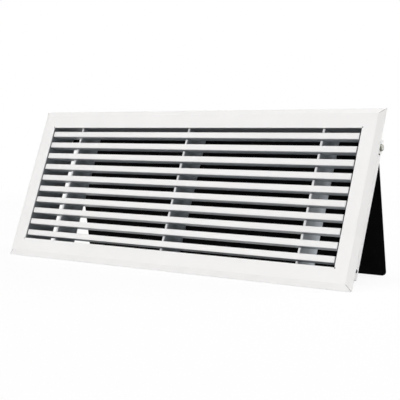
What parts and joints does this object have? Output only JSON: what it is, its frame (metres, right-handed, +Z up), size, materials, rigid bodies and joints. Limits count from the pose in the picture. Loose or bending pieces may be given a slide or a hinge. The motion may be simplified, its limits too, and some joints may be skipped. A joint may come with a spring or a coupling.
{
  "type": "louvred air grille",
  "caption": "Rectangular louvred air grille with a mitred bevelled frame, fixed horizontal bars on upright mullions, a rear neck and a hinged rear flap.",
  "frame": {"origin": "centre of the bounding box's bottom, on the surface that the grille stands on", "axes": "+X along the grille to the right as seen from the front, +Y to the rear, +Z up; the front face looks towards -Y and leans back by 21.1 degrees, held up by the open flap"},
  "size_m": [0.4204, 0.1044, 0.154],
  "materials": {
    "frame_white": "satin white powder coat",
    "bar_white": "satin white powder coat",
    "mullion_white": "satin white powder coat",
    "flap_black": "matt black coating",
    "screw_steel": "bright zinc-plated steel",
    "rivet_aluminium": "plain aluminium",
    "key_aluminium": "mill-finish aluminium",
    "seal_foam": "closed-cell foam strip",
    "nylon_white": "natural nylon"
  },
  "bodies": {
    "grille": {"bar_01": "bar_white", "bar_02": "bar_white", "bar_03": "bar_white", "bar_04": "bar_white", "bar_05": "bar_white", "bar_06": "bar_white", "bar_07": "bar_white", "bar_08": "bar_white", "bar_09": "bar_white", "bar_10": "bar_white", "corner_key_bottom_left": "key_aluminium", "corner_key_bottom_right": "key_aluminium", "corner_key_top_left": "key_aluminium", "corner_key_top_right": "key_aluminium", "frame_bottom": "frame_white", "frame_left": "frame_white", "frame_right": "frame_white", "frame_top": "frame_white", "mullion_centre": "mullion_white", "mullion_left": "mullion_white", "mullion_right": "mullion_white", "mullion_rivets": "rivet_aluminium", "pivot_nut_left": "screw_steel", "pivot_nut_right": "screw_steel", "pivot_screw_left": "screw_steel", "pivot_screw_right": "screw_steel", "pivot_spacer_left": "nylon_white", "pivot_spacer_right": "nylon_white", "pivot_washer_left": "nylon_white", "pivot_washer_right": "nylon_white", "seal_bottom": "seal_foam", "seal_left": "seal_foam", "seal_right": "seal_foam", "seal_top": "seal_foam"},
    "flap": {"flap_panel": "flap_black"}
  },
  "joints": [
    {"name": "flap_hinge", "type": "hinge", "parent": "grille", "child": "flap", "pos_m": [0, 0.02893, 0.11921], "axis": [1, 0, 0], "range_deg": [-32.6, 0]}
  ]
}
